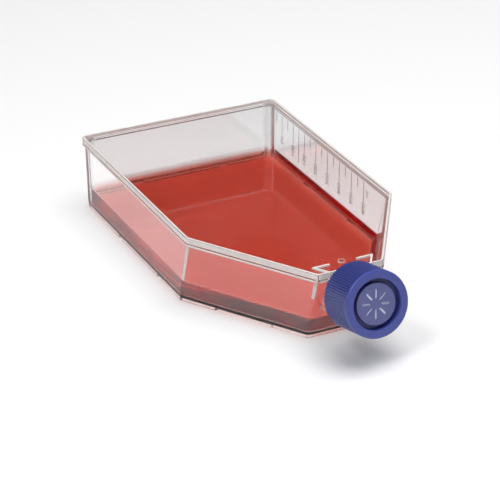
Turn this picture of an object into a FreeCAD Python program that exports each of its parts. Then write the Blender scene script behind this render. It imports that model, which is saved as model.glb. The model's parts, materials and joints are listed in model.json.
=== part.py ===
"""Cell culture flask with a canted neck and a vented screw cap.

The flask is an open tray moulded in clear polystyrene, with the neck as part of the same
moulding.  A flat top plate with a stacking rim is welded onto the tray's flange.  The cap
screws onto the neck and carries a vent membrane under its slotted disc.  A pool of culture
medium lies on the floor.

Frame: X across the flask, -Y towards the cap, +Z up.  The origin is on the surface that the
flask stands on, under the middle of its overall box.  Lengths are in millimetres.

Pieces are built from the flange's front edge (Y = 0 there), or about the neck's own axis with
the mouth at Z = 0, and are moved to the part's origin by their Placement at the end.
"""
import FreeCAD, Part
import os
import Sketcher

# --- Driving dimensions: name, value, what it is ---------------------------------------------
SIZES = (
    ("body_wide", 114, "flange width across the flask"),
    ("body_long", 199, "flange length from front edge to back edge"),
    ("front_wide", 35, "flange width at the front edge"),
    ("shoulder_long", 63.5, "length along Y of the two tapering shoulders"),
    ("tray_high", 37.5, "resting surface to the top of the flange"),
    ("flange_thick", 1.6, "thickness of the flange"),
    ("overhang", 1.2, "how far the flange stands out past the tops of the walls"),
    ("side_lean", 0.5, "side walls: foot of the wall inside its top"),
    ("back_lean", 0.5, "back wall: foot of the wall inside its top"),
    ("shoulder_lean", 6.7, "shoulder walls: foot of the wall inside its top"),
    ("front_lean", 11.7, "front wall: foot of the wall inside its top"),
    ("wall_thick", 1.5, "thickness of the walls"),
    ("floor_thick", 1.6, "thickness of the floor"),
    ("foot_high", 1.5, "height of the foot ridge under the floor"),
    ("foot_wide", 1.6, "width of the foot ridge"),
    ("foot_inset", 0.2, "foot ridge inside the foot of the wall"),
    ("foot_gap_front", 31, "gap of the ridge at the shoulders: near end, from the front edge"),
    ("foot_gap_back", 58.5, "gap of the ridge at the shoulders: far end"),
    ("drain_wide", 5, "width of the small breaks in the foot ridge"),
    ("side_drain", 99.5, "front edge to the first break at the sides"),
    ("side_drain_step", 49.75, "first to second break at the sides"),
    ("back_drain", 22.8, "centre line to a break at the back"),
    ("corner_back", 2.2, "outer radius of the wall corners at the back"),
    ("corner_back_in", 5.5, "inner radius of the wall corners at the back"),
    ("corner_side", 3.5, "outer radius of the other wall corners"),
    ("corner_foot", 0.8, "outer radius where the walls meet the floor"),
    ("corner_floor", 1.5, "inner radius where the walls meet the floor"),
    ("corner_flange", 3, "radius of the corners of the flange"),
    ("edge_soft", 0.3, "small edge rounding and chamfer of the mouldings"),
    ("plate_thick", 2, "thickness of the top plate"),
    ("plate_inset", 0.1, "how far the plate stays inside the flange"),
    ("weld_gap", 0.03, "joint line between flange and plate"),
    ("rim_high", 1.1, "height of the stacking rim and the angled ribs on the plate"),
    ("rim_wide", 1.4, "width of the stacking rim"),
    ("rib_wide", 1, "width of the two angled ribs on the plate"),
    ("rib_drop", 0.05, "top of the ribs below the top of the rim"),
    ("rib_back", 9, "back edge of the angled ribs, from the front edge"),
    ("rib_side", 1.0, "outer corner of an angled rib inside the end of the front edge"),
    ("rib_leg", 9.3, "length of the rib's leg that runs along X"),
    ("gate_radius", 1.8, "radius of the gate mark on the plate"),
    ("gate_high", 0.6, "height of the gate mark"),
    ("neck_tilt", 13.5, "neck axis above the horizontal, in degrees"),
    ("mouth_drop", 5.1, "centre of the mouth below the top of the flange"),
    ("bore_radius", 11.4, "radius of the bore through the neck"),
    ("neck_wall", 1.5, "thickness of the neck's wall"),
    ("flare_long", 2.5, "length of the flare at the neck's root"),
    ("flare_high", 1.2, "how far the flare stands out of the neck"),
    ("header_thick", 2, "wall that closes the top of the bore above the flange"),
    ("skirt_gap", 1, "clearance between the cap's rear edge and the flare"),
    ("thread_pitch", 4, "pitch of the neck and cap threads"),
    ("thread_turns", 1.25, "turns of each thread"),
    ("thread_high", 1.1, "height of each thread"),
    ("thread_base", 1.6, "width of a thread at its root"),
    ("thread_tip", 0.8, "width of a thread at its crest"),
    ("thread_start", 2.2, "mouth to the middle of the neck thread's upper end"),
    ("thread_gap", 0.3, "clearance between a thread's crest and the other part"),
    ("thread_play", 0.15, "clearance between the flanks of the two threads"),
    ("cap_wall", 2.2, "inside of the cap's skirt to the crests of the grip ribs"),
    ("cap_long", 22.8, "length of the cap"),
    ("cap_edge", 0.9, "edge radius at the face of the cap"),
    ("cap_clear", 0.955, "clearance along the neck between cap and stacking rim"),
    ("seat_gap", 0.05, "clearance between the seal bead and the mouth"),
    ("bead_high", 0.3, "height of the seal bead inside the cap"),
    ("bead_wide", 0.9, "width of the seal bead"),
    ("head_thick", 1, "thickness of the moat's floor"),
    ("moat_deep", 3, "depth of the moat round the vent disc"),
    ("face_ring", 4, "width of the ring round the moat"),
    ("moat_wide", 2.3, "width of the moat"),
    ("disc_deep", 1.2, "face of the cap to the vent disc"),
    ("disc_thick", 0.7, "thickness of the vent disc"),
    ("disc_wall", 1, "wall round the membrane's pocket"),
    ("slot_count", 8, "number of vent slots"),
    ("slot_inner", 2.6, "centre to the inner end of a slot"),
    ("slot_rim", 1.8, "outer end of a slot to the wall of the membrane's pocket"),
    ("slot_wide", 1.1, "width of a slot"),
    ("slot_turn", -7, "turn of the slots about the cap's axis, in degrees"),
    ("band_long", 1.3, "length of the smooth band at the front of the cap"),
    ("grip_count", 84, "number of grip ribs"),
    ("grip_high", 0.35, "height of a grip rib"),
    ("membrane_thick", 0.25, "thickness of the vent membrane"),
    ("membrane_inset", 0.25, "edge of the membrane to the wall of its pocket"),
    ("membrane_gap", 0.03, "joint line between vent disc and membrane"),
    ("medium_deep", 8, "depth of the culture medium"),
)
NAMES = {name for name, value, note in SIZES}
ROUND_OFF = 1e-4
EMBED = 0.2         # how far a piece of a moulding reaches into the rest of it before the fuse

doc = FreeCAD.newDocument("culture_flask")
sheet = doc.addObject("Spreadsheet::Sheet", "sizes")
for row, (name, value, note) in enumerate(SIZES, start=1):
    sheet.set(f"A{row}", name)
    sheet.set(f"B{row}", str(value))
    sheet.set(f"C{row}", note)
    sheet.setAlias(f"B{row}", name)
doc.recompute()

# --- Expressions that more than one piece uses; words are separated by spaces -----------------
FLOOR_TOP = "( foot_high + floor_thick )"
FLANGE_LOW = "( tray_high - flange_thick )"
PLATE_LOW = "( tray_high + weld_gap )"
PLATE_TOP = f"( {PLATE_LOW} + plate_thick )"
TAPER = "( ( body_wide - front_wide ) / 2 )"
SHOULDER_RUN = f"sqrt( shoulder_long ^ 2 + {TAPER} ^ 2 )"
SINE = "sin( neck_tilt * 1 deg )"
COSINE = "cos( neck_tilt * 1 deg )"
CAP_FACE = "( seat_gap + bead_high + head_thick + moat_deep )"
CAP_REAR = f"( {CAP_FACE} - cap_long )"
NECK_RADIUS = "( bore_radius + neck_wall )"
THREAD_CREST = f"( {NECK_RADIUS} + thread_high )"
CAP_INNER = f"( {THREAD_CREST} + thread_gap )"
CAP_RADIUS = f"( {CAP_INNER} + cap_wall )"
MOAT_RADIUS = f"( {CAP_RADIUS} - face_ring )"
DISC_RADIUS = f"( {MOAT_RADIUS} - moat_wide )"
DISC_LOW = f"( {CAP_FACE} - disc_deep - disc_thick )"
POCKET_RADIUS = f"( {DISC_RADIUS} - disc_wall )"
FLARE_TOP = f"( {CAP_REAR} - skirt_gap )"
FLARE_RADIUS = f"( {NECK_RADIUS} + flare_high )"
# The cap's rear edge passes just ahead of the top plate's rim.
MOUTH_REACH = (
    f"( ( cap_clear - {CAP_REAR} + ( {PLATE_TOP} + rim_high - tray_high + mouth_drop ) * {SINE} )"
    f" / {COSINE} - plate_inset )"
)
FRONT_SLOPE = "( front_lean / ( tray_high - foot_high ) )"
# The tube ends just inside the front wall, where its lowest line has passed through it.
NECK_LONG = (
    f"( ( overhang + wall_thick + {MOUTH_REACH} + {FLARE_RADIUS} * {SINE} + {FRONT_SLOPE} * "
    f"( mouth_drop + {FLARE_RADIUS} * {COSINE} ) ) / ( {COSINE} - {FRONT_SLOPE} * {SINE} )"
    f" + {EMBED} )"
)
THREAD_LOW = "( -1 * thread_start - thread_pitch * thread_turns )"
FLANK_STEP = (
    "( thread_base - ( thread_base - thread_tip ) * ( thread_high + thread_gap )"
    " / ( 2 * thread_high ) + thread_play )"
)
# The foremost point of the part is on the rounded lower edge of the cap's face.
FRONT_REACH = (
    f"( {MOUTH_REACH} + ( {CAP_FACE} - cap_edge ) * {COSINE}"
    f" + ( {CAP_RADIUS} - cap_edge ) * {SINE} + cap_edge )"
)
SHIFT = f"( ( {FRONT_REACH} - body_long ) / 2 )"


def cells(text):
    """The expression with each alias written as the sheet's cell."""
    return " ".join(f"sizes.{word}" if word in NAMES else word for word in text.split())


def value_of(text):
    """The number that an expression of aliases gives."""
    return float(sheet.evalExpression(cells(text)))


def bind(thing, path, text):
    """Tie a property to an expression of aliases."""
    thing.setExpression(path, cells(text))


# --- Sketches ---------------------------------------------------------------------------------
def new_sketch(body, name, role="XY_Plane", height=None):
    """A sketch on one of the body's own origin planes, or at a height above it."""
    sketch = body.newObject("Sketcher::SketchObject", name)
    plane = next(item for item in body.Origin.OriginFeatures if item.Role == role)
    sketch.AttachmentSupport = [(plane, "")]
    sketch.MapMode = "FlatFace"
    if height:
        bind(sketch, "AttachmentOffset.Base.z", height)
    return sketch


def tie_point(sketch, edge, end, place):
    """Hold one end of a sketch edge at a place given by two expressions."""
    for kind, text in zip(("DistanceX", "DistanceY"), place):
        link = Sketcher.Constraint(kind, -1, 1, edge, end, value_of(text))
        index = sketch.addConstraint(link)
        bind(sketch, f"Constraints[{index}]", text)


def add_polygon(sketch, places):
    """A closed polygon whose corners sit at pairs of expressions."""
    corners = [FreeCAD.Vector(value_of(across), value_of(up), 0) for across, up in places]
    first = sketch.GeometryCount
    count = len(corners)
    for index in range(count):
        line = Part.LineSegment(corners[index], corners[(index + 1) % count])
        sketch.addGeometry(line, False)
    for index in range(count):
        following = first + (index + 1) % count
        link = Sketcher.Constraint("Coincident", first + index, 2, following, 1)
        sketch.addConstraint(link)
    for index, place in enumerate(places):
        tie_point(sketch, first + index, 1, place)


def add_rectangle(sketch, left, right, low, high):
    add_polygon(sketch, [(left, low), (right, low), (right, high), (left, high)])


def add_circle(sketch, across, up, radius):
    centre = FreeCAD.Vector(value_of(across), value_of(up), 0)
    circle = Part.Circle(centre, FreeCAD.Vector(0, 0, 1), value_of(radius))
    edge = sketch.addGeometry(circle, False)
    tie_point(sketch, edge, 3, (across, up))
    index = sketch.addConstraint(Sketcher.Constraint("Radius", edge, value_of(radius)))
    bind(sketch, f"Constraints[{index}]", radius)


def add_outline(sketch, side, shoulder, front, back):
    """The flask's six-cornered plan, with its edges moved in from the flange's edges."""
    slide = f"( ( {shoulder} ) * {SHOULDER_RUN} )"
    front_x = (f"( body_wide / 2 - ( {slide} + {TAPER} * ( shoulder_long - ( {front} ) ) )"
               " / shoulder_long )")
    side_x = f"( body_wide / 2 - ( {side} ) )"
    side_y = f"( shoulder_long + ( {slide} - shoulder_long * ( {side} ) ) / {TAPER} )"
    back_y = f"( body_long - ( {back} ) )"
    right = [(front_x, front), (side_x, side_y), (side_x, back_y)]
    left = [(f"-1 * {across}", up) for across, up in reversed(right)]
    add_polygon(sketch, right + left)


def foot_insets(extra):
    """Insets of the four kinds of wall at their foot, moved in by some extra."""
    kinds = ("side_lean", "shoulder_lean", "front_lean", "back_lean")
    return [f"overhang + {lean} + {extra}" for lean in kinds]


# --- Features ---------------------------------------------------------------------------------
def pad(body, sketch, length, name):
    feature = body.newObject("PartDesign::Pad", name)
    feature.Profile = sketch
    bind(feature, "Length", length)
    doc.recompute()
    return feature


def pocket(body, sketch, length, name, upward=False):
    """A cut that has to take material away."""
    before = body.Tip.Shape.Volume
    feature = body.newObject("PartDesign::Pocket", name)
    feature.Profile = sketch
    bind(feature, "Length", length)
    feature.Reversed = upward
    doc.recompute()
    if feature.Shape.Volume >= before:
        raise RuntimeError(f"{name} cuts nothing")
    return feature


def revolve(body, sketch, name):
    feature = body.newObject("PartDesign::Revolution", name)
    feature.Profile = sketch
    feature.ReferenceAxis = (sketch, ["V_Axis"])
    feature.Angle = 360
    doc.recompute()
    return feature


def lean_walls(body, base):
    """Tilt the upright walls of a pad inward and down, with its top face kept."""
    def names(chosen):
        return [f"Face{number}" for number, face in enumerate(base.Shape.Faces, start=1)
                if chosen(face.normalAt(0, 0))]

    groups = (
        ("side_lean", lambda normal: abs(normal.x) > 0.99),
        ("back_lean", lambda normal: normal.y > 0.99),
        ("front_lean", lambda normal: normal.y < -0.9),
        ("shoulder_lean", lambda normal: 0.1 < abs(normal.x) < 0.98 and normal.y < 0),
    )
    for lean, chosen in groups:
        feature = body.newObject("PartDesign::Draft", f"{body.Name}_{lean}")
        feature.Base = (base, names(chosen))
        feature.NeutralPlane = (base, names(lambda normal: normal.z > 0.99))
        feature.Reversed = True
        bind(feature, "Angle", f"atan( {lean} / ( tray_high - foot_high ) ) / ( 1 deg )")
        doc.recompute()
        base = feature
    return base


def soften(body, base, chosen, size, name, kind="Fillet"):
    """Round or chamfer the edges of a feature for which chosen(edge) is true."""
    edges = [f"Edge{number}" for number, edge in enumerate(base.Shape.Edges, start=1)
             if chosen(edge)]
    if not edges:
        raise RuntimeError(f"{name} finds no edge")
    feature = body.newObject(f"PartDesign::{kind}", name)
    feature.Base = (base, edges)
    bind(feature, "Radius" if kind == "Fillet" else "Size", size)
    doc.recompute()
    return feature


def repeat_round(body, base, sketch, count, name):
    """Copies of a feature round the sketch's own normal axis."""
    pattern = body.newObject("PartDesign::PolarPattern", name)
    pattern.Originals = [base]
    pattern.Axis = (sketch, ["N_Axis"])
    pattern.Angle = 360
    bind(pattern, "Occurrences", count)
    body.Tip = pattern
    doc.recompute()
    return pattern


def add_thread(body, root, crest, middle_low, name):
    """A thread about the body's Z axis, with its section between two radii."""
    section = new_sketch(body, f"{name}_section", "XZ_Plane")
    add_polygon(section, [
        (root, f"{middle_low} - thread_base / 2"),
        (crest, f"{middle_low} - thread_tip / 2"),
        (crest, f"{middle_low} + thread_tip / 2"),
        (root, f"{middle_low} + thread_base / 2"),
    ])
    doc.recompute()
    thread = body.newObject("PartDesign::AdditiveHelix", name)
    thread.Profile = section
    thread.ReferenceAxis = (section, ["V_Axis"])
    thread.Mode = 1     # by pitch and turns
    bind(thread, "Pitch", "thread_pitch")
    bind(thread, "Turns", "thread_turns")
    doc.recompute()
    return thread


def block(name, across, along, up):
    """A box between pairs of expressions, used to trim or to take a slice."""
    box = doc.addObject("Part::Box", name)
    spans = zip(("Length", "Width", "Height"), "xyz", (across, along, up))
    for length, axis, (low, high) in spans:
        bind(box, length, f"{high} - ( {low} )")
        bind(box, f"Placement.Base.{axis}", low)
    return box


def combine(kind, name, base, tool):
    """A Part::Cut or Part::Common of two shapes."""
    feature = doc.addObject(f"Part::{kind}", name)
    feature.Base = base
    feature.Tool = tool
    doc.recompute()
    return feature


def fuse(name, shapes):
    feature = doc.addObject("Part::MultiFuse", name)
    feature.Shapes = shapes
    doc.recompute()
    return feature


def stand_on_neck(thing, shift="0"):
    """Turn a piece built about the neck's axis to the neck's tilt and set it at the mouth."""
    about_x = FreeCAD.Rotation(FreeCAD.Vector(1, 0, 0), 90)
    thing.Placement = FreeCAD.Placement(FreeCAD.Vector(0, 0, 0), about_x)
    bind(thing, "Placement.Rotation.Angle", "90 - neck_tilt")
    bind(thing, "Placement.Base.y", f"{shift} - {MOUTH_REACH}")
    bind(thing, "Placement.Base.z", "tray_high - mouth_drop")


# --- Choosing edges ---------------------------------------------------------------------------
def middle(edge):
    return edge.valueAt((edge.FirstParameter + edge.LastParameter) / 2)


def upright(edge, least):
    """True for an edge that climbs by at least this much between its ends."""
    heights = [vertex.Point.z for vertex in edge.Vertexes]
    return len(heights) == 2 and abs(heights[1] - heights[0]) > least


def level_at(height):
    """A test for edges that lie at a height."""
    level = value_of(height)
    return lambda edge: all(abs(vertex.Point.z - level) < ROUND_OFF for vertex in edge.Vertexes)


def plan_inset(point):
    """How far a point lies inside the flange's plan."""
    half = value_of("body_wide") / 2
    reach = value_of("shoulder_long")
    taper = value_of(TAPER)
    run = value_of(SHOULDER_RUN)
    shoulder = (reach * (half - abs(point.x)) + taper * (point.y - reach)) / run
    return min(half - abs(point.x), point.y, value_of("body_long") - point.y, shoulder)


def round_upright_corners(body, base, least, back_radius, side_radius, name):
    """Round the two upright corners at the back, then the other four."""
    half_way = value_of("body_long + shoulder_long") / 2

    def at_back(edge):
        return upright(edge, least) and middle(edge).y > half_way

    def at_side(edge):
        return upright(edge, least) and middle(edge).y < half_way

    done = soften(body, base, at_back, back_radius, f"{name}_back")
    return soften(body, done, at_side, side_radius, f"{name}_side")


# --- Flask body: tray, flange, foot ridge and neck in one moulding ----------------------------
def make_walls_outside():
    """The tray's outer form with its flange, still solid."""
    body = doc.addObject("PartDesign::Body", "tray_outside")
    plan = new_sketch(body, "outer_plan", height="foot_high")
    add_outline(plan, *["overhang"] * 4)
    done = pad(body, plan, "tray_high - foot_high", "outer_walls")
    done = lean_walls(body, done)
    tall = value_of("tray_high - foot_high") / 2
    done = round_upright_corners(body, done, tall, "corner_back", "corner_side", "outer_corner")
    soften(body, done, level_at("foot_high"), "corner_foot", "outer_foot_edge")

    plan = new_sketch(body, "flange_plan", height=FLANGE_LOW)
    add_outline(plan, "0", "0", "0", "0")
    done = pad(body, plan, "flange_thick", "flange")
    thick = value_of("flange_thick")
    done = soften(body, done, lambda edge: abs(edge.Length - thick) < ROUND_OFF
                  and upright(edge, thick / 2), "corner_flange", "flange_corner")
    edge_zone = value_of("overhang") * 0.9
    at_top, at_bottom = level_at("tray_high"), level_at(FLANGE_LOW)
    soften(body, done, lambda edge: (at_top(edge) or at_bottom(edge))
           and plan_inset(middle(edge)) < edge_zone, "edge_soft", "flange_edge", "Chamfer")
    return body


def make_ridge_block(name, inset, height):
    """A block with the plan of the walls' foot, moved in by some inset."""
    body = doc.addObject("PartDesign::Body", name)
    plan = new_sketch(body, f"{name}_plan")
    add_outline(plan, *foot_insets(inset))
    done = pad(body, plan, height, f"{name}_pad")
    round_upright_corners(body, done, value_of("foot_high"), f"corner_back - ( {inset} )",
                          f"corner_side - ( {inset} )", f"{name}_corner")
    return body


def make_foot_ridge():
    """The ridge under the floor that the flask stands on, open in several places."""
    outer = make_ridge_block("ridge_outside", "foot_inset", "foot_high + floor_thick / 2")
    soften(outer, outer.Tip, level_at("0"), "edge_soft", "ridge_edge")
    inner = make_ridge_block("ridge_inside", "foot_inset + foot_wide", FLOOR_TOP)
    ring = combine("Cut", "ridge_ring", outer, inner)
    whole_width = ("-1 * body_wide", "body_wide")
    open_depth = ("-1 * foot_high", "foot_high")
    gaps = [block("shoulder_gap", whole_width, ("foot_gap_front", "foot_gap_back"), open_depth)]
    for number, near in enumerate(("side_drain", "side_drain + side_drain_step"), start=1):
        gaps.append(block(f"side_gap_{number}", whole_width, (near, f"{near} + drain_wide"),
                          open_depth))
    back_zone = ("body_long - 3 * foot_wide", "body_long")
    for number, left in enumerate(("back_drain", "-1 * back_drain - drain_wide"), start=1):
        gaps.append(block(f"back_gap_{number}", (left, f"{left} + drain_wide"), back_zone,
                          open_depth))
    return combine("Cut", "foot_ridge", ring, fuse("ridge_gaps", gaps))


def make_walls_inside():
    """The space inside the tray, which shapes both the walls and the medium."""
    body = doc.addObject("PartDesign::Body", "tray_inside")
    plan = new_sketch(body, "inner_plan", height=FLOOR_TOP)
    add_outline(plan, *["overhang + wall_thick"] * 4)
    done = pad(body, plan, f"tray_high - {FLOOR_TOP}", "inner_walls")
    done = lean_walls(body, done)
    tall = value_of(f"tray_high - {FLOOR_TOP}") / 2
    done = round_upright_corners(body, done, tall, "corner_back_in",
                                 "corner_side - wall_thick", "inner_corner")
    soften(body, done, level_at(FLOOR_TOP), "corner_floor", "inner_floor_edge")
    return body


def make_neck_outside():
    """The neck's outer form about its own axis, with the flare at its root and the thread."""
    body = doc.addObject("PartDesign::Body", "neck_outside")
    half = new_sketch(body, "neck_section", "XZ_Plane")
    add_polygon(half, [
        ("0", f"-1 * {NECK_LONG}"),
        (FLARE_RADIUS, f"-1 * {NECK_LONG}"),
        (FLARE_RADIUS, f"{FLARE_TOP} - flare_long"),
        (NECK_RADIUS, FLARE_TOP),
        (NECK_RADIUS, "0"),
        ("0", "0"),
    ])
    done = revolve(body, half, "neck_tube")
    done = soften(body, done, level_at(FLARE_TOP), "flare_long", "flare_blend")
    soften(body, done, level_at("0"), "edge_soft", "mouth_edge")
    add_thread(body, f"{NECK_RADIUS} - {EMBED}", THREAD_CREST, THREAD_LOW, "neck_thread")
    return body


def make_bore():
    """The bore, stopped short above the flange so that a header closes it there."""
    rod = doc.addObject("Part::Cylinder", "bore_rod")
    bind(rod, "Radius", "bore_radius")
    bind(rod, "Height", f"{NECK_LONG} + {EMBED}")
    back_first = FreeCAD.Rotation(FreeCAD.Vector(1, 0, 0), 90)
    rod.Placement = FreeCAD.Placement(FreeCAD.Vector(0, 0, 0), back_first)
    bind(rod, "Placement.Rotation.Angle", "90 - neck_tilt")
    bind(rod, "Placement.Base.y", f"{NECK_LONG} * {COSINE} - {MOUTH_REACH}")
    bind(rod, "Placement.Base.z", f"tray_high - mouth_drop - {NECK_LONG} * {SINE}")
    header = block("header_zone", ("-1 * body_wide", "body_wide"),
                   ("-1 * header_thick", "body_long"), (FLANGE_LOW, "tray_high + body_wide"))
    return combine("Cut", "bore", rod, header)


def make_flask_body(inside):
    above_flange = block("above_flange", ("-1 * body_wide", "body_wide"), ("0", "body_long"),
                         ("tray_high", "tray_high + body_wide"))
    neck = make_neck_outside()
    stand_on_neck(neck)
    neck_below = combine("Cut", "neck_trimmed", neck, above_flange)
    outside = fuse("flask_outside", [make_walls_outside(), make_foot_ridge(), neck_below])
    hollow = fuse("flask_hollow", [inside, make_bore()])
    return combine("Cut", "flask_body", outside, hollow)


# --- Top plate --------------------------------------------------------------------------------
def make_top_plate():
    """The lid welded onto the flange, with the rim and the ribs that locate a stacked flask."""
    body = doc.addObject("PartDesign::Body", "top_plate")
    plan = new_sketch(body, "plate_plan", height=PLATE_LOW)
    add_outline(plan, *["plate_inset"] * 4)
    done = pad(body, plan, "plate_thick + rim_high", "plate")
    corner = "corner_flange - plate_inset"
    tall = value_of("plate_thick")
    done = soften(body, done, lambda edge: upright(edge, tall), corner, "plate_corner")
    at_top, at_bottom = level_at(f"{PLATE_TOP} + rim_high"), level_at(PLATE_LOW)
    done = soften(body, done, at_bottom, "edge_soft", "plate_low_edge", "Chamfer")
    soften(body, done, at_top, "edge_soft", "plate_high_edge")

    floor = new_sketch(body, "rim_inner_plan", height=PLATE_TOP)
    add_outline(floor, *["plate_inset + rim_wide"] * 4)
    done = pocket(body, floor, "rim_high", "rim_hollow", upward=True)
    short = value_of("rim_high") / 2
    inner_corner = value_of("plate_inset + rim_wide / 2")
    done = soften(body, done, lambda edge: upright(edge, short)
                  and plan_inset(middle(edge)) > inner_corner,
                  f"{corner} - rim_wide", "rim_inner_corner")
    soften(body, done, lambda edge: at_top(edge) and plan_inset(middle(edge)) > inner_corner,
           "edge_soft", "rim_inner_edge")
    mark = new_sketch(body, "gate_plan", height=PLATE_TOP)
    add_circle(mark, "0", "rib_back + gate_radius / 2", "gate_radius")
    pad(body, mark, "gate_high", "gate_mark")
    return fuse("top_plate", [body, make_ribs()])


def make_ribs():
    """Two angled ribs: one leg runs along X, the other follows the shoulder to the rim."""
    body = doc.addObject("PartDesign::Body", "plate_ribs")
    plan = new_sketch(body, "rib_plan", height=f"{PLATE_TOP} - {EMBED}")
    slope = f"( {TAPER} / shoulder_long )"
    slant_wide = f"( rib_wide * {SHOULDER_RUN} / shoulder_long )"
    near = "( plate_inset + rim_wide / 2 )"
    rib_half = "( front_wide / 2 - rib_side )"
    near_x = f"( {rib_half} - ( rib_back - {near} ) * {slope} )"
    inner_y = "( rib_back - rib_wide )"
    inner_end = f"( {rib_half} - rib_leg )"
    right = [
        (inner_end, inner_y),
        (f"( {rib_half} - rib_wide * {slope} - {slant_wide} )", inner_y),
        (f"( {near_x} - {slant_wide} )", near),
        (near_x, near),
        (rib_half, "rib_back"),
        (inner_end, "rib_back"),
    ]
    left = [(f"-1 * {across}", up) for across, up in reversed(right)]
    add_polygon(plan, right)
    add_polygon(plan, left)
    done = pad(body, plan, f"rim_high - rib_drop + {EMBED}", "ribs")
    soften(body, done, level_at(f"{PLATE_TOP} + rim_high - rib_drop"), "edge_soft", "rib_edge")
    return body


# --- Cap and what it carries ------------------------------------------------------------------
def make_cap():
    """The screw cap about its own axis: skirt, moat, slotted vent disc, thread and grip."""
    body = doc.addObject("PartDesign::Body", "cap")
    half = new_sketch(body, "cap_section", "XZ_Plane")
    under = "( seat_gap + bead_high )"
    bead = "( bore_radius + neck_wall / 2 )"
    root = f"( {CAP_RADIUS} - grip_high )"
    band_low = f"( {CAP_FACE} - band_long )"
    moat_low = f"( {CAP_FACE} - moat_deep )"
    disc_top = f"( {CAP_FACE} - disc_deep )"
    add_polygon(half, [
        ("0", DISC_LOW),
        (POCKET_RADIUS, DISC_LOW),
        (POCKET_RADIUS, under),
        (f"{bead} - bead_wide / 2", under),
        (f"{bead} - bead_wide / 4", "seat_gap"),
        (f"{bead} + bead_wide / 4", "seat_gap"),
        (f"{bead} + bead_wide / 2", under),
        (CAP_INNER, under),
        (CAP_INNER, CAP_REAR),
        (root, CAP_REAR),
        (root, band_low),
        (CAP_RADIUS, band_low),
        (CAP_RADIUS, CAP_FACE),
        (MOAT_RADIUS, CAP_FACE),
        (MOAT_RADIUS, moat_low),
        (DISC_RADIUS, moat_low),
        (DISC_RADIUS, disc_top),
        ("0", disc_top),
    ])
    done = revolve(body, half, "cap_shell")
    at_face, at_disc = level_at(CAP_FACE), level_at(disc_top)
    ring_middle = value_of(f"2 * pi * ( {MOAT_RADIUS} + face_ring / 2 )")
    done = soften(body, done, lambda edge: at_face(edge) and edge.Length > ring_middle,
                  "cap_edge", "face_edge")
    done = soften(body, done, lambda edge: at_face(edge) or at_disc(edge), "edge_soft",
                  "moat_edges")

    slot = new_sketch(body, "slot_plan", height=disc_top)
    bind(slot, "AttachmentOffset.Rotation.Angle", "slot_turn")
    add_rectangle(slot, "slot_inner", f"{POCKET_RADIUS} - slot_rim", "-1 * slot_wide / 2",
                  "slot_wide / 2")
    first_slot = pocket(body, slot, "disc_thick + edge_soft", "vent_slot")
    repeat_round(body, first_slot, slot, "slot_count", "vent_slots")

    grip = new_sketch(body, "grip_plan", height=CAP_REAR)
    step = f"( 2 * pi * {CAP_RADIUS} / grip_count )"
    add_polygon(grip, [
        (f"{root} - {EMBED}", f"-0.34 * {step}"),
        (CAP_RADIUS, f"-0.14 * {step}"),
        (CAP_RADIUS, f"0.14 * {step}"),
        (f"{root} - {EMBED}", f"0.34 * {step}"),
    ])
    first_rib = pad(body, grip, "cap_long - band_long", "grip_rib")
    repeat_round(body, first_rib, grip, "grip_count", "grip_ribs")
    add_thread(body, f"{CAP_INNER} + {EMBED}", f"{NECK_RADIUS} + thread_gap",
               f"( {THREAD_LOW} - {FLANK_STEP} )", "cap_thread")
    return body


def make_vent_membrane():
    body = doc.addObject("PartDesign::Body", "vent_membrane")
    plan = new_sketch(body, "membrane_plan", height=f"{DISC_LOW} - membrane_gap - membrane_thick")
    add_circle(plan, "0", "0", f"{POCKET_RADIUS} - membrane_inset")
    pad(body, plan, "membrane_thick", "membrane")
    return body


def make_culture_medium(inside):
    """The pool on the floor: the lowest slice of the space inside the tray."""
    slab = block("medium_zone", ("-1 * body_wide", "body_wide"), ("0", "body_long"),
                 ("0", f"{FLOOR_TOP} + medium_deep"))
    return combine("Common", "culture_medium", inside, slab)


# --- The whole part ---------------------------------------------------------------------------
inside = make_walls_inside()
flask_body = make_flask_body(inside)
top_plate = make_top_plate()
cap = make_cap()
vent_membrane = make_vent_membrane()
culture_medium = make_culture_medium(inside)

pieces = {
    "flask_body": flask_body,
    "top_plate": top_plate,
    "cap": cap,
    "vent_membrane": vent_membrane,
    "culture_medium": culture_medium,
}
for label, piece in pieces.items():
    piece.Label = label
for piece in (flask_body, top_plate, culture_medium):
    bind(piece, "Placement.Base.y", SHIFT)
for piece in (cap, vent_membrane):
    stand_on_neck(piece, SHIFT)
doc.recompute()

for thing in doc.Objects:
    if "Invalid" in thing.State or "Error" in thing.State:
        raise RuntimeError(f"{thing.Label} failed: {thing.State}")
for label, piece in pieces.items():
    shape = piece.Shape
    if shape.isNull() or not shape.isValid() or len(shape.Solids) != 1:
        raise RuntimeError(f"{label} is not one valid solid")

os.makedirs("parts", exist_ok=True)
for label, piece in pieces.items():
    piece.Shape.exportStep(f"parts/{label}.step")
    print(f"{label}: {piece.Shape.Volume / 1000:.2f} cm3")
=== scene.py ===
"""Looks of the cell culture flask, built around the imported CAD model.  Lengths are in metres.

The flask's own frame: X across the flask, -Y towards the cap, +Z up, resting on Z = 0.
"""
import json
import math

import bmesh
import bpy
from mathutils import Matrix, Vector


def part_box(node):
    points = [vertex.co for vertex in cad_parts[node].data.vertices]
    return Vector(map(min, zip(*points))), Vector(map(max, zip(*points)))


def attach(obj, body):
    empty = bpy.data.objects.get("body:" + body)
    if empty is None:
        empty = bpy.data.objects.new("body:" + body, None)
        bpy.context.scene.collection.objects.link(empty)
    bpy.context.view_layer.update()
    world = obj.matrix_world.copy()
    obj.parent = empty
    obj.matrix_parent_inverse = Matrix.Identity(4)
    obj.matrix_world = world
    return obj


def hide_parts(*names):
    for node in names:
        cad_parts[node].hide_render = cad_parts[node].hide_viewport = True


MM = 0.001

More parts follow.
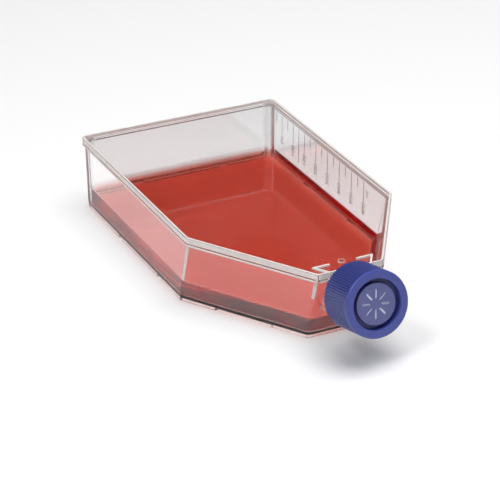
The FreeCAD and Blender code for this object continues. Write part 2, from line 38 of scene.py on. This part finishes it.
# --- Camera -----------------------------------------------------------------------------------
CAMERA_PLACE = Vector((-0.46168, -0.93591, 0.54178))
CAMERA_AZIMUTH = 25.646      # degrees that the view turns from +Y towards +X
CAMERA_ELEVATION = 26.929    # degrees that the view looks down
CAMERA_ROLL = 0.411
CAMERA_LENS = 166.23         # millimetres on a sensor 36 wide
SENSOR_WIDE = 36

# --- Culture medium ---------------------------------------------------------------------------
WALL_OVERLAP = 0.12 * MM     # how far the liquid's skin lies inside the plastic that it wets
MENISCUS_RISE = 1.6 * MM
MENISCUS_LENGTH = 1.25 * MM  # distance from the wall over which the meniscus falls to a third
MENISCUS_STEPS = (0.0, 0.25, 0.55, 0.95, 1.5, 2.2, 3.2, 4.6, 7.0)      # mm from the wall
CORNER_BACK = 5.5 * MM       # inner radius of the tray's square corners
CORNER_SIDE = 2.0 * MM       # inner radius of its other corners
FLOOR_FILLET = 1.5 * MM
CORNER_STEPS = 8
FILLET_STEPS = 6
LEAST_RADIUS = 0.3 * MM
SMOOTH_ANGLE = 35            # degrees between faces that still shade as one surface

# --- Graduations on the wall at +X, read with the flask stood on its back end -------------------
TICK_FIRST = 189.2 * MM      # from the flange's front edge
TICK_PITCH = 6.68 * MM
TICK_VOLUME = 25             # millilitres from one tick to the next
TICK_COUNT = 16
TICK_TOP = 35.1 * MM
TICK_LONG = 11.0 * MM
TICK_SHORT = 5.5 * MM
TICK_FULL = 19.5 * MM        # the one tick that runs down the wall
TICK_FULL_INDEX = 4
TICK_WIDE = 0.5 * MM
UNIT_INDEX = 15.6            # the unit stands beside the last tick
UNIT_DOWN = 3.2 * MM
UNIT_HIGH = 2.4 * MM
DIGIT_HIGH = 3.3 * MM
DIGIT_SHARE = 0.70           # height of a digit as a share of the font's size
DIGIT_GAP = 0.9 * MM
INK_THICK = 0.03 * MM
INK_OFF_WALL = 0.015 * MM

# --- Frosted edges of the mouldings, partly painted highlights -----------------------------------
FROST_DEEP = 0.06 * MM       # how far the cloudy layer lies under the surface
FROST_THICK = 0.08 * MM
RIM_HIGH = 1.1 * MM          # height of the rim and of the marks inside it
RIM_INSIDE = 1.6 * MM        # marks lie at least this far inside the plate's edge
EDGE_BAND = 0.3 * MM         # faces this near to the plate's outline are its edge
MARK_MARGIN = 0.04 * MM      # the foot of the marks stays clear by this much
FLANGE_PAST = 0.02 * MM      # the flange's edge lies at least this far outside the plate's
RIB_LEAST_X = 3 * MM         # the gate mark lies nearer to the middle than this
FLANGE_THICK = 1.7 * MM
TOP_MARGIN = 0.03 * MM
CORNER_LOW = 13 * MM         # the walls' corners carry the cloudy layer, partly a painted highlight, above this height
CORNER_HIGH = 35.7 * MM
NECK_SIDE_LOW = 25 * MM      # the same, for the two corners beside the neck
NECK_SIDE_Y = -60 * MM       # corners nearer to the cap than this are beside the neck
NECK_HALF = 16.2 * MM
CORNER_TURN = 0.9985         # cosine between a wall's level direction and a corner's faces

# --- Haze of the clear plastic -------------------------------------------------------------------
EDGE_ROUGHNESS = 0.15
FLANGE_LOW = 35.8 * MM       # upright faces of the tray are cloudy above this height
SIDE_HAZE = 0.03             # roughness of the two long walls
CORNER_HAZE = 0.3            # roughness of the two corners at the back
REAR_CORNER_X = 50.6 * MM
REAR_CORNER_Y = 108.2 * MM

# --- Cap -----------------------------------------------------------------------------------------
DISC_RADIUS = 10.22 * MM     # the vent disc of the cap
RIB_TOP = 16.5 * MM          # crests of the cap's grip ribs, from its axis
VALLEY_SHADE_START = 0.1 * MM      # painted shade in the rib valleys fades in between these depths
VALLEY_SHADE_FULL = 0.32 * MM
SKIRT_TOP = 3.0 * MM         # end of the ribs, from the mouth of the neck

# --- Studio -------------------------------------------------------------------------------------
DARK_WAY = Vector((0.39, 0.81, 0.45))
DARK_HALF = 10               # degrees from the patch's middle to where it starts to fade
DARK_FADE = 26
ROOM_LIGHT = 1.3
ROOM_DARK = 0.10
FLOOR_HALF = 4.0
LIGHT_PATHS = 64             # clear walls, plate and liquid lie behind one another

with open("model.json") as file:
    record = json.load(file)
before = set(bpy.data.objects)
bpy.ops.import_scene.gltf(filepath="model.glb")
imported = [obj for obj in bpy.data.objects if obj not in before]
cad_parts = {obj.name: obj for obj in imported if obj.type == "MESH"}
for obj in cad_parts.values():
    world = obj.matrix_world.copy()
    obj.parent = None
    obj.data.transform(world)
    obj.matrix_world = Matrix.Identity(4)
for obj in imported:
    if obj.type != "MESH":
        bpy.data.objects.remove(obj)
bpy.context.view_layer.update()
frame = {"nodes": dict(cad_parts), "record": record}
nodes = frame["nodes"]
scene = bpy.context.scene


# --- Node helpers -----------------------------------------------------------------------------
def new_material(name):
    material = bpy.data.materials.new(name)
    material.use_nodes = True
    tree = material.node_tree
    return material, tree, tree.nodes["Principled BSDF"], tree.nodes["Material Output"]


def set_values(node, **values):
    for name, value in values.items():
        node.inputs[name.replace("_", " ")].default_value = value


def noise(tree, scale, detail=3.0):
    """A noise pattern fixed in the part's own space, with this many cells in a metre."""
    place = tree.nodes.new("ShaderNodeTexCoord")
    pattern = tree.nodes.new("ShaderNodeTexNoise")
    set_values(pattern, Scale=scale, Detail=detail)
    tree.links.new(place.outputs["Object"], pattern.inputs["Vector"])
    return pattern.outputs["Fac"]


def spread(tree, source, low, high):
    """Maps a pattern from its usual middle range to the range low to high."""
    node = tree.nodes.new("ShaderNodeMapRange")
    set_values(node, From_Min=0.3, From_Max=0.7, To_Min=low, To_Max=high)
    tree.links.new(source, node.inputs["Value"])
    return node.outputs["Result"]


def bump(tree, shader, height, strength, distance):
    node = tree.nodes.new("ShaderNodeBump")
    set_values(node, Strength=strength, Distance=distance)
    tree.links.new(height, node.inputs["Height"])
    tree.links.new(node.outputs["Normal"], shader.inputs["Normal"])


def let_lamps_through(tree, shader, output):
    """Rays from the lamps cross the clear surface unbent, so what is inside is lit."""
    path = tree.nodes.new("ShaderNodeLightPath")
    clear = tree.nodes.new("ShaderNodeBsdfTransparent")
    mix = tree.nodes.new("ShaderNodeMixShader")
    tree.links.new(path.outputs["Is Shadow Ray"], mix.inputs["Fac"])
    tree.links.new(shader.outputs[0], mix.inputs[1])
    tree.links.new(clear.outputs[0], mix.inputs[2])
    tree.links.new(mix.outputs[0], output.inputs["Surface"])
    return clear


def absorb(tree, output, colour, density):
    """Light is lost along its way inside, least in the given colour."""
    volume = tree.nodes.new("ShaderNodeVolumeAbsorption")
    set_values(volume, Color=colour, Density=density)
    tree.links.new(volume.outputs[0], output.inputs["Volume"])


def magnitude(tree, value):
    node = tree.nodes.new("ShaderNodeMath")
    node.operation = "ABSOLUTE"
    tree.links.new(value, node.inputs[0])
    return node.outputs[0]


def product(tree, first, second):
    """Two values multiplied; the second may be a plain number."""
    node = tree.nodes.new("ShaderNodeMath")
    node.operation = "MULTIPLY"
    tree.links.new(first, node.inputs[0])
    if isinstance(second, (int, float)):
        node.inputs[1].default_value = second
    else:
        tree.links.new(second, node.inputs[1])
    return node.outputs[0]


def total(tree, first, second):
    node = tree.nodes.new("ShaderNodeMath")
    node.operation = "ADD"
    tree.links.new(first, node.inputs[0])
    tree.links.new(second, node.inputs[1])
    return node.outputs[0]


def compare(tree, kind, value, limit):
    """One where a value is less or greater than a limit, zero elsewhere."""
    node = tree.nodes.new("ShaderNodeMath")
    node.operation = kind
    node.inputs[1].default_value = limit
    tree.links.new(value, node.inputs[0])
    return node.outputs[0]


def mottle(tree, first, second, scale):
    """Two colours mixed by a noise pattern."""
    node = tree.nodes.new("ShaderNodeMix")
    node.data_type = "RGBA"
    node.inputs["A"].default_value = first
    node.inputs["B"].default_value = second
    tree.links.new(noise(tree, scale), node.inputs["Factor"])
    return node.outputs["Result"]


def tint(tree, base, colour, share):
    """A colour mixed over another one."""
    node = tree.nodes.new("ShaderNodeMix")
    node.data_type = "RGBA"
    node.inputs["B"].default_value = colour
    tree.links.new(share, node.inputs["Factor"])
    tree.links.new(base, node.inputs["A"])
    return node.outputs["Result"]


# --- Materials --------------------------------------------------------------------------------
def edge_frost(tree, lowest):
    """Roughness of the upright faces above a height, the long walls and the rear corners."""
    place = tree.nodes.new("ShaderNodeTexCoord")
    split = tree.nodes.new("ShaderNodeSeparateXYZ")
    tree.links.new(place.outputs["Normal"], split.inputs["Vector"])
    tilt = magnitude(tree, split.outputs["Z"])
    side = tree.nodes.new("ShaderNodeMapRange")
    set_values(side, From_Min=0.75, From_Max=0.3, To_Min=0.0, To_Max=1.0)
    tree.links.new(tilt, side.inputs["Value"])
    where = tree.nodes.new("ShaderNodeSeparateXYZ")
    tree.links.new(place.outputs["Object"], where.inputs["Vector"])
    high = compare(tree, "GREATER_THAN", where.outputs["Z"], lowest)
    edges = product(tree, product(tree, side.outputs["Result"], high), EDGE_ROUGHNESS)
    flank = compare(tree, "GREATER_THAN", magnitude(tree, split.outputs["X"]), 0.9)
    outer = compare(tree, "GREATER_THAN", magnitude(tree, where.outputs["X"]), REAR_CORNER_X)
    rear = compare(tree, "GREATER_THAN", where.outputs["Y"], REAR_CORNER_Y)
    corner = product(tree, product(tree, outer, rear), CORNER_HAZE)
    return total(tree, total(tree, edges, product(tree, flank, SIDE_HAZE)), corner)


def clear_plastic(name, frost_above):
    material, tree, shader, output = new_material(name)
    set_values(shader, Base_Color=(1, 1, 1, 1), IOR=1.59, Transmission_Weight=1.0)
    smudge = spread(tree, noise(tree, 60, detail=4), 0.0, 0.001)
    rough = total(tree, edge_frost(tree, frost_above), smudge)
    tree.links.new(rough, shader.inputs["Roughness"])
    absorb(tree, output, (0.93, 0.93, 0.94, 1), 6)
    clear = let_lamps_through(tree, shader, output)
    set_values(clear, Color=(0.85, 0.85, 0.855, 1))
    return material


def red_medium():
    material, tree, shader, output = new_material("red_medium")
    set_values(shader, Base_Color=(1, 1, 1, 1), IOR=1.33, Transmission_Weight=1.0, Roughness=0.0)
    absorb(tree, output, (0.994, 0.28, 0.13, 1), 150)
    clear = let_lamps_through(tree, shader, output)
    set_values(clear, Color=(0.93, 0.93, 0.93, 1))
    return material


def about_axis(tree):
    """The distance from the cap's own axis, and the distance along it from the mouth."""
    turn = next(joint for joint in frame["record"]["behaviour"]["joints"]
                if joint["name"] == "cap_turn")
    place = tree.nodes.new("ShaderNodeTexCoord")
    away = tree.nodes.new("ShaderNodeVectorMath")
    away.operation = "SUBTRACT"
    away.inputs[1].default_value = turn["pos_m"]
    across = tree.nodes.new("ShaderNodeVectorMath")
    across.operation = "CROSS_PRODUCT"
    across.inputs[1].default_value = turn["axis"]
    reach = tree.nodes.new("ShaderNodeVectorMath")
    reach.operation = "LENGTH"
    along = tree.nodes.new("ShaderNodeVectorMath")
    along.operation = "DOT_PRODUCT"
    along.inputs[1].default_value = turn["axis"]
    tree.links.new(place.outputs["Object"], away.inputs[0])
    tree.links.new(away.outputs["Vector"], across.inputs[0])
    tree.links.new(away.outputs["Vector"], along.inputs[0])
    tree.links.new(across.outputs["Vector"], reach.inputs[0])
    return reach.outputs["Value"], along.outputs["Value"]


def cap_plastic():
    material, tree, shader, output = new_material("cap_plastic")
    shade = mottle(tree, (0.053, 0.070, 0.285, 1), (0.066, 0.085, 0.33, 1), 240)
    reach, along = about_axis(tree)
    # Painted shade: the valleys between the grip ribs on the skirt are darkened, as if shade fell
    # in them.
    valley_shade = tree.nodes.new("ShaderNodeMapRange")
    set_values(valley_shade, From_Min=RIB_TOP - VALLEY_SHADE_START, From_Max=RIB_TOP - VALLEY_SHADE_FULL)
    tree.links.new(reach, valley_shade.inputs["Value"])
    skirt = compare(tree, "LESS_THAN", along, SKIRT_TOP)
    grip = tint(tree, shade, (0.034, 0.044, 0.200, 1),
                product(tree, valley_shade.outputs["Result"], skirt))
    disc = tint(tree, grip, (0.105, 0.113, 0.285, 1),
                compare(tree, "LESS_THAN", reach, DISC_RADIUS))
    tree.links.new(disc, shader.inputs["Base Color"])
    set_values(shader, IOR=1.5)
    tree.links.new(spread(tree, noise(tree, 900), 0.27, 0.38), shader.inputs["Roughness"])
    bump(tree, shader, noise(tree, 2600, detail=2), 0.25, 0.00004)
    return material


def membrane_painted_glow():
    material, tree, shader, output = new_material("membrane_painted_glow")
    # Painted light: the blue tint stands for light bounced off the blue cap, and the emission is a
    # painted glow.
    set_values(shader, Base_Color=(0.82, 0.87, 1.0, 1), Roughness=0.85,
               Emission_Color=(0.7, 0.75, 1.0, 1), Emission_Strength=0.12)
    bump(tree, shader, noise(tree, 5000), 0.5, 0.00003)
    return material


def frost_with_painted_glow():
    material, tree, shader, output = new_material("frost_with_painted_glow")
    # The pale pinkish layer stands partly for cloudy moulded edges and partly for painted
    # highlights on the edges, rim, ribs and corners.
    shade = mottle(tree, (0.74, 0.66, 0.62, 1), (0.98, 0.91, 0.89, 1), 300)
    tree.links.new(shade, shader.inputs["Base Color"])
    # Painted glow: the emission makes the layer give off light of its own.
    set_values(shader, Roughness=0.7, Emission_Color=(1, 0.9, 0.88, 1),
               Emission_Strength=0.12)
    return material


def print_ink():
    material, tree, shader, output = new_material("print_ink")
    shade = mottle(tree, (0.012, 0.012, 0.015, 1), (0.05, 0.05, 0.055, 1), 1500)
    tree.links.new(shade, shader.inputs["Base Color"])
    set_values(shader, Roughness=0.6)
    return material


def floor_paint():
    material, tree, shader, output = new_material("floor_paint")
    shade = mottle(tree, (0.88, 0.88, 0.885, 1), (0.90, 0.90, 0.905, 1), 4)
    tree.links.new(shade, shader.inputs["Base Color"])
    set_values(shader, Roughness=0.9)
    return material


def give(thing, material):
    thing.data.materials.clear()
    thing.data.materials.append(material)


# --- Plan of the tray's inside, from the planes of the CAD medium's walls -----------------------
def wall_planes(node, least_area):
    """The big leaning faces of a node as (normal, distance), one for each direction."""
    found = {}
    mesh = nodes[node].data
    for face in mesh.polygons:
        normal = face.normal
        if abs(normal.z) > 0.6:
            continue
        key = tuple(round(value, 2) for value in normal)
        area, summed, distance = found.get(key, (0.0, Vector(), 0.0))
        found[key] = (area + face.area, summed + normal * face.area,
                      max(distance, normal.dot(face.center)))
    planes = [(summed.normalized(), distance) for area, summed, distance in found.values()
              if area > least_area]
    return sorted(planes, key=lambda plane: math.atan2(plane[0].y, plane[0].x))


def meeting(first, second, height, outward):
    """Where two walls meet at a height, both moved outward, with their plan normals."""
    lines = []
    for normal, distance in (first, second):
        across = Vector((normal.x, normal.y))
        reach = (distance - normal.z * height) / across.length + outward
        lines.append((across.normalized(), reach))
    (a, reach_a), (b, reach_b) = lines
    slant = a.x * b.y - a.y * b.x
    corner = Vector(((reach_a * b.y - reach_b * a.y) / slant,
                     (reach_b * a.x - reach_a * b.x) / slant))
    return corner, a, b


def outline(planes, height, outward):
    """The rounded six-cornered plan at a height, moved outward, always with as many points."""
    points = []
    for index, plane in enumerate(planes):
        corner, a, b = meeting(plane, planes[(index + 1) % len(planes)], height, outward)
        square = abs(a.dot(b)) < 0.1
        radius = max((CORNER_BACK if square and corner.y > 0 else CORNER_SIDE) + outward,
                     LEAST_RADIUS)
        centre = corner - (a + b) * (radius / (1 + a.dot(b)))
        start = math.atan2(a.y, a.x)
        turn = a.angle_signed(b) * -1
        for step in range(CORNER_STEPS + 1):
            angle = start + turn * step / CORNER_STEPS
            points.append(Vector((centre.x + radius * math.cos(angle),
                                  centre.y + radius * math.sin(angle), height)))
    return points


def medium_rings(planes, low, high):
    """Rings of points from the middle of the floor, up the walls and over the meniscus."""
    floor = low - WALL_OVERLAP
    rings = []
    for step in range(FILLET_STEPS + 1):
        angle = math.pi / 2 * step / FILLET_STEPS
        inward = FLOOR_FILLET * (1 - math.sin(angle))
        climb = FLOOR_FILLET * (1 - math.cos(angle))
        rings.append(outline(planes, floor + climb, WALL_OVERLAP - inward))
    rings.append(outline(planes, high, WALL_OVERLAP))
    top = high + MENISCUS_RISE
    rings.append(outline(planes, top, WALL_OVERLAP))
    for gap in MENISCUS_STEPS:
        away = gap * MM
        level = high + MENISCUS_RISE * math.exp(-away / MENISCUS_LENGTH)
        rings.append([Vector((point.x, point.y, level))
                      for point in outline(planes, top, -away)])
    return rings


def mesh_object(name, work, sharp=None):
    """An object made of the given faces; with an angle in degrees it shades smoothly."""
    bmesh.ops.recalc_face_normals(work, faces=work.faces)
    mesh = bpy.data.meshes.new(name)
    work.to_mesh(mesh)
    work.free()
    if sharp is not None:
        mesh.polygons.foreach_set("use_smooth", [True] * len(mesh.polygons))
        mesh.set_sharp_from_angle(angle=math.radians(sharp))
    thing = bpy.data.objects.new(name, mesh)
    scene.collection.objects.link(thing)
    return thing


def make_medium():
    low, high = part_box("culture_medium")
    planes = wall_planes("culture_medium", least_area=1e-4)
    work = bmesh.new()
    rings = [[work.verts.new(point) for point in ring]
             for ring in medium_rings(planes, low.z, high.z)]
    count = len(rings[0])
    for lower, upper in zip(rings, rings[1:]):
        for index in range(count):
            after = (index + 1) % count
            work.faces.new((lower[index], lower[after], upper[after], upper[index]))
    work.faces.new(list(reversed(rings[0])))
    work.faces.new(rings[-1])
    thing = mesh_object("medium_pool", work, sharp=SMOOTH_ANGLE)
    give(thing, red_medium())
    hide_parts("culture_medium")
    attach(thing, "flask")


# --- Frosted edges and painted highlights -------------------------------------------------------
def outermost(planes, point, margin):
    """True for a point that lies near the outside of the plan."""
    return max(normal.dot(point) - distance for normal, distance in planes) > -margin


def add_layer(work, faces, mesh, level=0.0):
    """Thin closed shells just under patches of a mesh, where they lie above a height."""
    patch = bmesh.new()
    points = {}
    for face in faces:
        for index in face.vertices:
            if index not in points:
                points[index] = patch.verts.new(mesh.vertices[index].co)
        patch.faces.new([points[index] for index in face.vertices])
    bmesh.ops.remove_doubles(patch, verts=patch.verts, dist=0.001 * MM)
    bmesh.ops.bisect_plane(patch, geom=patch.verts[:] + patch.edges[:] + patch.faces[:],
                           plane_co=(0, 0, level), plane_no=(0, 0, 1), clear_inner=True)
    patch.normal_update()
    outer, inner = {}, {}
    for point in patch.verts:
        inward = -point.normal * point.calc_shell_factor()
        outer[point] = work.verts.new(point.co + inward * FROST_DEEP)
        inner[point] = work.verts.new(point.co + inward * (FROST_DEEP + FROST_THICK))
    for face in patch.faces:
        work.faces.new([outer[point] for point in face.verts])
        work.faces.new([inner[point] for point in reversed(face.verts)])
    for edge in patch.edges:
        if edge.is_boundary:
            loop = edge.link_loops[0]
            start, end = loop.vert, loop.link_loop_next.vert
            work.faces.new((outer[end], outer[start], inner[start], inner[end]))
    patch.free()


def flat(normal):
    """The level direction of a normal."""
    return Vector((normal.x, normal.y, 0)).normalized()


def plate_faces(plate, planes, top):
    """The plate's edge, the top of its rim, its ribs and the round side of the gate mark."""
    edge = [face for face in plate.polygons if abs(face.normal.z) < 0.05
            and outermost(planes, face.center, EDGE_BAND)]
    tops = [face for face in plate.polygons if face.normal.z > 0.99
            and face.center.z > top - TOP_MARGIN]
    marks = [face for face in plate.polygons if face.normal.z > -0.1
             and face.center.z > top - RIM_HIGH + MARK_MARGIN
             and not outermost(planes, face.center, RIM_INSIDE)
             and (abs(face.center.x) > RIB_LEAST_X or face.normal.z < 0.9)]
    return edge + tops + marks


def flange_faces(tray, planes, top):
    """The edge of the tray's flange, where it faces the front and the left."""
    return [face for face in tray.polygons if abs(face.normal.z) < 0.05
            and (face.normal.y < -0.2 or face.normal.x < -0.5)
            and top - FLANGE_THICK < face.center.z < top
            and outermost(planes, face.center, -FLANGE_PAST)]


def corner_faces(tray, planes):
    """The rounded corners between the tray's walls, on the half with the neck."""
    middle = Vector((0, 10 * MM, 0))
    return [face for face in tray.polygons if abs(face.normal.z) < 0.35
            and CORNER_LOW / 2 < face.center.z < CORNER_HIGH
            and abs(face.center.x) > NECK_HALF and face.center.y < 0
            and face.normal.x * face.center.x > 0
            and flat(face.normal).dot(face.center - middle) > 0
            and max(flat(face.normal).dot(wall) for wall, distance in planes) < CORNER_TURN]


def make_frost_and_highlight_edges():
    """A cloudy layer just under the edges, ribs, rim and near corners of the mouldings; partly
    painted highlight.
    """
    plate, tray = nodes["top_plate"].data, nodes["flask_body"].data
    low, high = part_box("top_plate")
    planes = [plane for plane in wall_planes("top_plate", least_area=2e-5)
              if abs(plane[0].z) < 0.01]
    work = bmesh.new()
    add_layer(work, plate_faces(plate, planes, high.z), plate)
    add_layer(work, flange_faces(tray, planes, low.z), tray)
    corners = corner_faces(tray, planes)
    for beside_neck, level in ((True, NECK_SIDE_LOW), (False, CORNER_LOW)):
        chosen = [face for face in corners if (face.center.y < NECK_SIDE_Y) == beside_neck]
        add_layer(work, chosen, tray, level)
    thing = mesh_object("frost_and_highlight_edges", work)
    give(thing, frost_with_painted_glow())
    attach(thing, "flask")


# --- Printed graduations ------------------------------------------------------------------------
def print_frame():
    """The print's own axes on the outside of the wall at +X: across is up the wall, up is -Y."""
    planes = [plane for plane in wall_planes("flask_body", least_area=1e-3)
              if plane[0].x > 0.99]
    normal, distance = max(planes, key=lambda plane: plane[1])
    up = Vector((0, -1, 0))
    across = up.cross(normal).normalized()
    return across, up, normal, distance


def add_stroke(work, place, left, right, low, high):
    """A bar of ink between two distances across and two distances up."""
    corners = [(left, low), (right, low), (right, high), (left, high)]
    lower = [work.verts.new(place(across, up, 0)) for across, up in corners]
    upper = [work.verts.new(place(across, up, INK_THICK)) for across, up in corners]
    work.faces.new(list(reversed(lower)))
    work.faces.new(upper)
    for index in range(4):
        after = (index + 1) % 4
        work.faces.new((lower[index], lower[after], upper[after], upper[index]))


def add_number(work, place, text, right, middle, high=DIGIT_HIGH):
    """Ink letters of a height that end at `right`, centred on `middle`."""
    curve = bpy.data.curves.new("number", "FONT")
    curve.body = text
    curve.size = high / DIGIT_SHARE
    curve.align_x = "RIGHT"
    curve.extrude = INK_THICK / 2
    curve.resolution_u = 3
    holder = bpy.data.objects.new("number", curve)
    scene.collection.objects.link(holder)
    bpy.context.view_layer.update()
    mesh = bpy.data.meshes.new_from_object(holder.evaluated_get(
        bpy.context.evaluated_depsgraph_get()))
    for vertex in mesh.vertices:
        across, up, out = vertex.co
        vertex.co = place(right + across, middle - high / 2 + up, out + INK_THICK / 2)
    work.from_mesh(mesh)
    bpy.data.objects.remove(holder)
    bpy.data.curves.remove(curve)
    bpy.data.meshes.remove(mesh)


def make_graduations():
    across, up, normal, distance = print_frame()
    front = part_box("top_plate")[0].y - 0.1 * MM
    level = TICK_TOP

    def place(right, high, out):
        """A point `right` of the tick tops' line and `high` towards the cap from the origin."""
        point = Vector((0, -high, level + right * across.z))
        point.x = (distance - normal.z * point.z) / normal.x
        return point + normal * (INK_OFF_WALL + out)

    work = bmesh.new()
    for index in range(TICK_COUNT):
        middle = -(front + TICK_FIRST - TICK_PITCH * index)
        labelled = index % 2 == 1
        if index == TICK_FULL_INDEX:
            length = TICK_FULL
        else:
            length = TICK_LONG if labelled else TICK_SHORT
        add_stroke(work, place, -length, 0, middle - TICK_WIDE / 2, middle + TICK_WIDE / 2)
        if labelled:
            volume = str(TICK_VOLUME * (index + 1))
            add_number(work, place, volume, -length - DIGIT_GAP, middle)
    add_number(work, place, "mL", -UNIT_DOWN, -(front + TICK_FIRST - TICK_PITCH * UNIT_INDEX),
               UNIT_HIGH)
    thing = mesh_object("graduations", work)
    give(thing, print_ink())
    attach(thing, "flask")


# --- Stage --------------------------------------------------------------------------------------
def make_floor():
    work = bmesh.new()
    bmesh.ops.create_grid(work, x_segments=8, y_segments=8, size=FLOOR_HALF)
    thing = mesh_object("studio_floor", work)
    give(thing, floor_paint())


def add_lamp(name, place, size, power, mirrored=True):
    """A square soft box that faces the part; it can stay out of mirrors and clear pieces."""
    lamp = bpy.data.lights.new(name, "AREA")
    lamp.shape = "SQUARE"
    lamp.size = size
    lamp.energy = power
    thing = bpy.data.objects.new(name, lamp)
    thing.location = place
    thing.rotation_euler = Vector(place).to_track_quat("Z", "Y").to_euler()
    thing.visible_glossy = mirrored
    thing.visible_transmission = mirrored
    scene.collection.objects.link(thing)


def make_world():
    """A bright room all round, with a dark patch where the flat top mirrors it to the camera."""
    world = bpy.data.worlds.new("studio")
    world.use_nodes = True
    tree = world.node_tree
    place = tree.nodes.new("ShaderNodeTexCoord")
    facing = tree.nodes.new("ShaderNodeVectorMath")
    facing.operation = "DOT_PRODUCT"
    facing.inputs[1].default_value = DARK_WAY.normalized()
    share = tree.nodes.new("ShaderNodeMapRange")
    share.interpolation_type = "SMOOTHSTEP"
    set_values(share, From_Min=math.cos(math.radians(DARK_FADE)),
               From_Max=math.cos(math.radians(DARK_HALF)), To_Min=ROOM_LIGHT, To_Max=ROOM_DARK)
    tree.links.new(place.outputs["Generated"], facing.inputs[0])
    tree.links.new(facing.outputs["Value"], share.inputs["Value"])
    tree.links.new(share.outputs["Result"], tree.nodes["Background"].inputs["Strength"])
    scene.world = world


def make_camera():
    azimuth, elevation = math.radians(CAMERA_AZIMUTH), math.radians(CAMERA_ELEVATION)
    ahead = Vector((math.sin(azimuth) * math.cos(elevation),
                    math.cos(azimuth) * math.cos(elevation), -math.sin(elevation)))
    level = ahead.cross(Vector((0, 0, 1))).normalized()
    turn = Matrix.Rotation(math.radians(CAMERA_ROLL), 3, ahead)
    right = turn @ level
    upward = right.cross(ahead)
    camera = bpy.data.cameras.new("camera")
    camera.lens = CAMERA_LENS
    camera.sensor_width = SENSOR_WIDE
    camera.clip_start = 0.01
    holder = bpy.data.objects.new("camera", camera)
    axes = Matrix((right, upward, -ahead)).transposed().to_4x4()
    holder.matrix_world = Matrix.Translation(CAMERA_PLACE) @ axes
    scene.collection.objects.link(holder)
    scene.camera = holder


make_camera()
make_world()
make_floor()
add_lamp("top_box", (0.3, -0.2, 1.7), 1.6, 34, mirrored=False)
add_lamp("left_box", (-0.85, -0.5, 1.15), 0.5, 9)

give(nodes["flask_body"], clear_plastic("tray_plastic", FLANGE_LOW))
give(nodes["top_plate"], clear_plastic("plate_plastic", 0))
give(nodes["cap"], cap_plastic())
give(nodes["vent_membrane"], membrane_painted_glow())
make_medium()
make_frost_and_highlight_edges()
make_graduations()

scene.view_settings.view_transform = "Standard"
scene.cycles.max_bounces = LIGHT_PATHS
scene.cycles.transmission_bounces = LIGHT_PATHS
scene.cycles.glossy_bounces = 16
scene.cycles.caustics_refractive = True
scene.cycles.caustics_reflective = False
